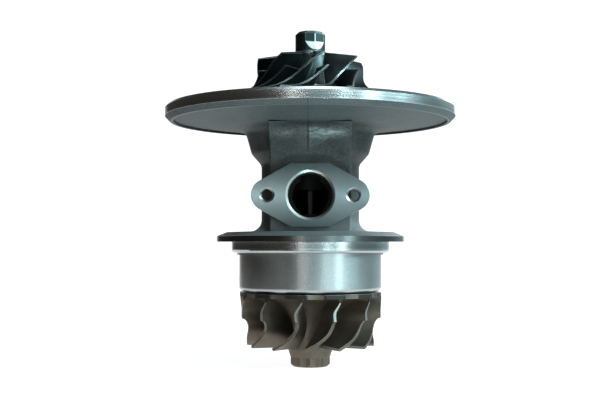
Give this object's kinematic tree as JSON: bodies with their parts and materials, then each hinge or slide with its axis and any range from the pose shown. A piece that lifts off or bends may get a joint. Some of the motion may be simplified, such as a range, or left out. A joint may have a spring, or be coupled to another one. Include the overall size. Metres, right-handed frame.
{
  "type": "turbo cartridge",
  "caption": "Turbocharger core: compressor and turbine wheels on one shaft, floating bearings and seals in a cast housing with a side oil drain flange.",
  "frame": {"origin": "on the shaft axis, in the plane of the turbine flange's seat face", "axes": "+Z along the shaft towards the compressor wheel's nose, -Y out of the oil drain flange"},
  "size_m": [0.175, 0.175, 0.2021],
  "materials": {
    "cast_iron_housing": "grainy cast iron, turned bright on the flanges",
    "drawn_stainless": "drawn stainless sheet, satin",
    "cast_nickel_alloy": "matte investment casting, ground tips",
    "ground_steel": "ground alloy steel",
    "milled_aluminium": "milled aluminium",
    "ring_steel": "hardened seal ring steel",
    "bearing_bronze": "leaded bronze, bored and turned",
    "spring_steel": "blackened spring steel",
    "turned_steel": "turned steel",
    "pressed_steel": "pressed steel sheet",
    "seal_plate_iron": "turned cast iron",
    "o_ring_rubber": "black heat-proof rubber"
  },
  "bodies": {
    "housing": {"bearing_housing": "cast_iron_housing", "heat_shield": "drawn_stainless", "turbine_piston_ring_1": "ring_steel", "turbine_piston_ring_2": "ring_steel", "bearing_circlip_1": "spring_steel", "bearing_circlip_2": "spring_steel", "bearing_circlip_3": "spring_steel", "bearing_circlip_4": "spring_steel", "thrust_bearing": "bearing_bronze", "thrust_bearing_pins": "ground_steel", "oil_baffle": "pressed_steel", "compressor_piston_ring": "ring_steel", "seal_plate": "seal_plate_iron", "seal_plate_o_ring": "o_ring_rubber", "seal_plate_circlip": "spring_steel"},
    "rotor": {"turbine_wheel": "cast_nickel_alloy", "shaft": "ground_steel", "thrust_collar": "turned_steel", "oil_thrower": "turned_steel", "compressor_wheel": "milled_aluminium"},
    "turbine_bearing": {"turbine_journal_bearing": "bearing_bronze"},
    "compressor_bearing": {"compressor_journal_bearing": "bearing_bronze"}
  },
  "joints": [
    {"name": "rotor_spin", "type": "hinge", "parent": "housing", "child": "rotor", "pos_m": [0, 0, 0.027], "axis": [0, 0, 1], "continuous": true},
    {"name": "turbine_bearing_spin", "type": "hinge", "parent": "housing", "child": "turbine_bearing", "pos_m": [0, 0, 0.007], "axis": [0, 0, 1], "continuous": true},
    {"name": "compressor_bearing_spin", "type": "hinge", "parent": "housing", "child": "compressor_bearing", "pos_m": [0, 0, 0.0405], "axis": [0, 0, 1], "continuous": true}
  ]
}
